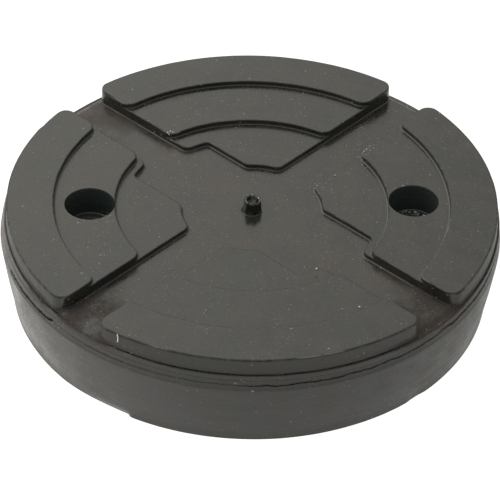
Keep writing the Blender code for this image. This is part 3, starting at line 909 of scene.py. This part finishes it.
def crumbs():
    """Ragged scraps at the tear, the stub and the front edge, and grains gathered in clusters."""
    places = [
        (-54.7, -42.9, 21.55, 0.17), (-53.3, -44.5, 21.1, 0.13), (-59.2, -36.5, 21.5, 0.12),
        (1.5, 1.0, 29.0, 0.24), (-1.7, 0.9, 29.0, 0.18), (-0.4, -1.8, 28.9, 0.20),
        (1.9, -0.7, 28.8, 0.18), (10.2, -65.4, 29.2, 0.16), (14.6, -65.0, 29.2, 0.17),
        (16.6, -27.6, 26.55, 0.22), (-41.6, -45.9, 25.2, 0.16), (46.2, 5.2, 19.5, 0.50),
        (47.0, 4.4, 19.45, 0.42), (43.6, 5.9, 19.5, 0.45), (42.6, 5.4, 19.45, 0.40),
        (44.7, 5.6, 19.4, 0.40), (48.6, 4.0, 19.5, 0.35),
    ]
    for x, y, z, reach in ((-42.5, -13.5, 28.0, 6.5), (-43.7, 25.9, 28.0, 5.0), (33.5, 22.6, 28.0, 5.0),
                           (-24.0, 35.0, 26.5, 3.0), (56.5, -22.0, 29.26, 5.0), (47.0, -31.0, 28.0, 4.0),
                           (20.0, 9.5, 26.5, 5.0), (-40.0, -6.0, 28.0, 3.0), (14.0, -57.0, 29.26, 7.0)):
        for i in range(20):
            lot = noise.cell_vector(Vector((x + i * 1.7, y, z)))
            out = reach * abs(lot.x) ** 0.7
            size = 0.07 + 0.09 * abs(lot.y) ** 2
            places.append((x + out * cos(2.4 * i), y + out * sin(2.4 * i), z, size))
    bm = bmesh.new()
    for i, (x, y, z, size) in enumerate(places):
        add_scrap(bm, (x, y, z), size, 2 if size > 0.12 else 1, 1.1, 2.3, Vector((i * 7.1, 3.3, 1.7)))
    return object_from(bm, "crumbs")


def scatter_tree(name, material, kind):
    """Grains or hairs strewn over the upward faces of a mesh, thicker in some places than in others."""
    tree, given, result = node_group(
        name, "GeometryNodeTree",
        [("Geometry", "Geometry", None), ("Density", "Float", 0.05), ("Seed", "Int", 3),
         ("Least", "Float", 0.3), ("Most", "Float", 1.0)],
        [("Geometry", "Geometry")],
    )
    facing_up = split(tree, tree.nodes.new("GeometryNodeInputNormal").outputs[0])[2]
    here = tree.nodes.new("GeometryNodeInputPosition").outputs[0]
    upward = calc(tree, "GREATER_THAN", facing_up, 0.9)
    chosen = calc(tree, "MULTIPLY", upward, calc(tree, "GREATER_THAN", split(tree, here)[2], 24.6))
    strewn = tree.nodes.new("GeometryNodeDistributePointsOnFaces")
    plug(tree, given.outputs["Geometry"], strewn.inputs["Mesh"])
    plug(tree, chosen, strewn.inputs["Selection"])
    plug(tree, given.outputs["Density"], strewn.inputs["Density"])
    plug(tree, given.outputs["Seed"], strewn.inputs["Seed"])
    thin = tree.nodes.new("GeometryNodeDeleteGeometry")
    thin.domain = "POINT"
    plug(tree, strewn.outputs["Points"], thin.inputs["Geometry"])
    crowd = noise_of(tree, here, 0.10, 4.0, 0.7)
    luck = tree.nodes.new("FunctionNodeRandomValue")
    luck.data_type = "FLOAT"
    plug(tree, calc(tree, "ADD", given.outputs["Seed"], 1.0), luck.inputs["Seed"])
    plug(tree, calc(tree, "GREATER_THAN", luck.outputs[1], span(tree, crowd, 0.40, 0.68, 0.12, 1.0)),
         thin.inputs["Selection"])
    if kind == "grain":
        ball = tree.nodes.new("GeometryNodeMeshIcoSphere")
        ball.inputs["Radius"].default_value = 0.085
        ball.inputs["Subdivisions"].default_value = 1
        shape = ball.outputs["Mesh"]
    else:
        arc = tree.nodes.new("GeometryNodeCurveArc")
        arc.inputs["Resolution"].default_value = 7
        arc.inputs["Radius"].default_value = 1.3
        arc.inputs["Sweep Angle"].default_value = 1.0
        section = tree.nodes.new("GeometryNodeCurvePrimitiveCircle")
        section.inputs["Resolution"].default_value = 4
        section.inputs["Radius"].default_value = 0.03
        swept = tree.nodes.new("GeometryNodeCurveToMesh")
        tree.links.new(arc.outputs["Curve"], swept.inputs["Curve"])
        tree.links.new(section.outputs["Curve"], swept.inputs["Profile Curve"])
        plug(tree, True, swept.inputs["Fill Caps"])
        shape = swept.outputs["Mesh"]
    turn = tree.nodes.new("FunctionNodeRandomValue")
    turn.data_type = "FLOAT_VECTOR"
    turn.inputs[1].default_value = (0.04, 0.03, 6.283) if kind == "hair" else (6.283, 6.283, 6.283)
    plug(tree, calc(tree, "ADD", given.outputs["Seed"], 2.0), turn.inputs["Seed"])
    size = tree.nodes.new("FunctionNodeRandomValue")
    size.data_type = "FLOAT"
    plug(tree, given.outputs["Least"], size.inputs[2])
    plug(tree, given.outputs["Most"], size.inputs[3])
    plug(tree, calc(tree, "ADD", given.outputs["Seed"], 3.0), size.inputs["Seed"])
    laid = tree.nodes.new("GeometryNodeInstanceOnPoints")
    plug(tree, thin.outputs[0], laid.inputs["Points"])
    tree.links.new(shape, laid.inputs["Instance"])
    plug(tree, turn.outputs[0], laid.inputs["Rotation"])
    plug(tree, size.outputs[1], laid.inputs["Scale"])
    finish_tree(tree, laid.outputs[0], material, result)
    return tree


def pale_matter(name, low, high, rough):
    """Dull pale stuff, a little uneven in tone."""
    material, tree, shader = new_material(name)
    origin = tree.nodes.new("ShaderNodeTexCoord")
    tone = noise_of(tree, origin.outputs["Object"], 900.0, 3.0, 0.6)
    plug(tree, blend(tree, span(tree, tone, 0.35, 0.65), low, high), shader.inputs["Base Color"])
    shader.inputs["Roughness"].default_value = rough
    return material


grit_matter = pale_matter("pale_grit", (0.10, 0.10, 0.09, 1.0), (0.42, 0.41, 0.38, 1.0), 0.7)
lint_matter = pale_matter("pale_lint", (0.12, 0.12, 0.11, 1.0), (0.34, 0.34, 0.32, 1.0), 0.8)

strewn_over = body.data.copy()
strewn_over.transform(Matrix.Scale(1 / MM, 4))
grit = grown("grit", scatter_tree("strewn_grit", grit_matter, "grain"), strewn_over.copy(),
             Density=0.055, Seed=11, Least=0.5, Most=1.3)
lint = grown("lint", scatter_tree("strewn_lint", lint_matter, "hair"), strewn_over.copy(),
             Density=0.014, Seed=5, Least=0.3, Most=1.0)

scraps = crumbs()

# The brightest bits, white blobs: painted highlights at band corners and on the stub's rim, and pale
# specks. Place in mm and radius.
GLINT_AND_SPECK_BITS = [
    (16.4, -29.3, 28.06, 0.22), (27.0, -45.5, 28.06, 0.26), (1.75, 0.5, 28.98, 0.21),
    (-1.75, -0.9, 28.95, 0.14), (-1.35, -1.4, 28.85, 0.16), (-0.8, -1.8, 28.8, 0.15),
    (-0.2, -1.95, 28.85, 0.12), (0.1, 1.9, 29.15, 0.13), (-22.9, 32.3, 28.04, 0.22),
    (-22.2, 32.9, 28.04, 0.20), (-21.5, 32.6, 28.02, 0.17), (-22.6, 31.7, 27.85, 0.19),
    (32.6, 22.7, 28.04, 0.16), (33.3, 23.5, 28.04, 0.13), (23.9, 13.6, 26.64, 0.17),
    (18.5, 9.0, 26.64, 0.13),
]


def fibre_and_glint_bits():
    """A short white fibre that hangs over the front edge, and the brightest bits: white blobs that are
    painted highlights and pale specks.
    """
    bm = bmesh.new()
    rings = []
    for i in range(13):
        t = i / 12
        centre = Vector((-37.5 + 0.15 * sin(3.0 * t), -57.1 - 0.5 * t**0.5, 29.4 - 2.2 * t))
        turns = [j * pi / 3 for j in range(6)]
        rings.append([bm.verts.new(centre + Vector((0.13 * cos(turn), 0.11 * sin(turn), 0.0)))
                      for turn in turns])
    for upper, lower in zip(rings, rings[1:]):
        for j in range(6):
            bm.faces.new((upper[j - 1], upper[j], lower[j], lower[j - 1]))
    bm.faces.new(rings[0])
    bm.faces.new(rings[-1][::-1])
    # The white blobs at band corners and on the stub's rim are painted highlights.
    for *place, size in GLINT_AND_SPECK_BITS:
        add_scrap(bm, place, size, 2, 0.9, 2.0, Vector(place))
    bmesh.ops.recalc_face_normals(bm, faces=bm.faces)
    return object_from(bm, "fibre_and_glints")


white = pale_matter("white_fibre_and_glints", (0.55, 0.54, 0.50, 1.0), (0.75, 0.74, 0.70, 1.0), 0.8)
fibre_and_glints = fibre_and_glint_bits()
for piece, matter in ((scraps, grit_matter), (fibre_and_glints, white)):
    piece.data.transform(Matrix.Scale(MM, 4))
    piece.data.shade_smooth()
    piece.data.materials.append(matter)

for piece in (grit, lint, scraps, fibre_and_glints):
    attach(piece, "root")

# ---- floor, light and camera ----
# The pad stands on a wide sheet of white paper that glows a little, more towards the left. A pale sky
# with one soft panel at its back lights it, and the camera looks down from the front.
floor_mesh = bpy.data.meshes.new("floor")
floor_mesh.from_pydata([(-6, -6, 0), (6, -6, 0), (6, 6, 0), (-6, 6, 0)], [], [(0, 1, 2, 3)])
floor = mesh_object("floor", floor_mesh)
paper, tree, sheen = new_material("white_paper")
sheen.inputs["Base Color"].default_value = (0.04, 0.04, 0.04, 1.0)
sheen.inputs["Roughness"].default_value = 1.0
sheen.inputs["Emission Color"].default_value = (1.0, 0.99, 0.955, 1.0)
spot_x = split(tree, tree.nodes.new("ShaderNodeTexCoord").outputs["Object"])[0]
plug(tree, span(tree, spot_x, -0.25, 0.05, 1.42, 1.05), sheen.inputs["Emission Strength"])
floor_mesh.materials.append(paper)

world = bpy.data.worlds.new("studio")
bpy.context.scene.world = world
world.use_nodes = True
sky = world.node_tree
back = sky.nodes["Background"]
to_x, to_y, to_z = split(sky, sky.nodes.new("ShaderNodeTexCoord").outputs["Generated"])
add, _, times, _ = sums(sky)
panel = span(sky, to_x, -0.30, 0.32, 1.74, 0.0)
panel = times(panel, span(sky, to_y, -0.5, 0.05))
panel = times(panel, span(sky, to_z, 0.05, 0.4))
panel = times(panel, span(sky, to_z, 0.70, 0.97, 1.0, 0.6))
plug(sky, add(panel, 0.66), back.inputs["Strength"])
back.inputs["Color"].default_value = (1.0, 0.988, 0.91, 1.0)

bpy.context.scene.view_settings.view_transform = "Standard"
# The camera was fitted to the photograph: its angles, and its place in units of UNIT metres.
elevation, azimuth, roll = 0.6841748, -0.0491814, 0.0215595
UNIT = 0.0704
FOCAL_IN_PIXELS, PICTURE_WIDTH = 3051.0, 500
away = Vector((sin(azimuth) * cos(elevation), -cos(azimuth) * cos(elevation), sin(elevation)))
level = Vector((cos(azimuth), sin(azimuth), 0.0))
rise = away.cross(level)
right = level * cos(roll) + rise * sin(roll)
upward = rise * cos(roll) - level * sin(roll)
camera_data = bpy.data.cameras.new("camera")
camera_data.sensor_width = 36.0
camera_data.lens = 36.0 * FOCAL_IN_PIXELS / PICTURE_WIDTH
camera_data.clip_end = 50.0
camera = bpy.data.objects.new("camera", camera_data)
bpy.context.scene.collection.objects.link(camera)
place = (away * 12.280746 - right * 0.0017932 + upward * 0.1197318) * UNIT
turn = Matrix((right, upward, away)).transposed()
camera.matrix_world = Matrix.Translation(place) @ turn.to_4x4()
bpy.context.scene.camera = camera
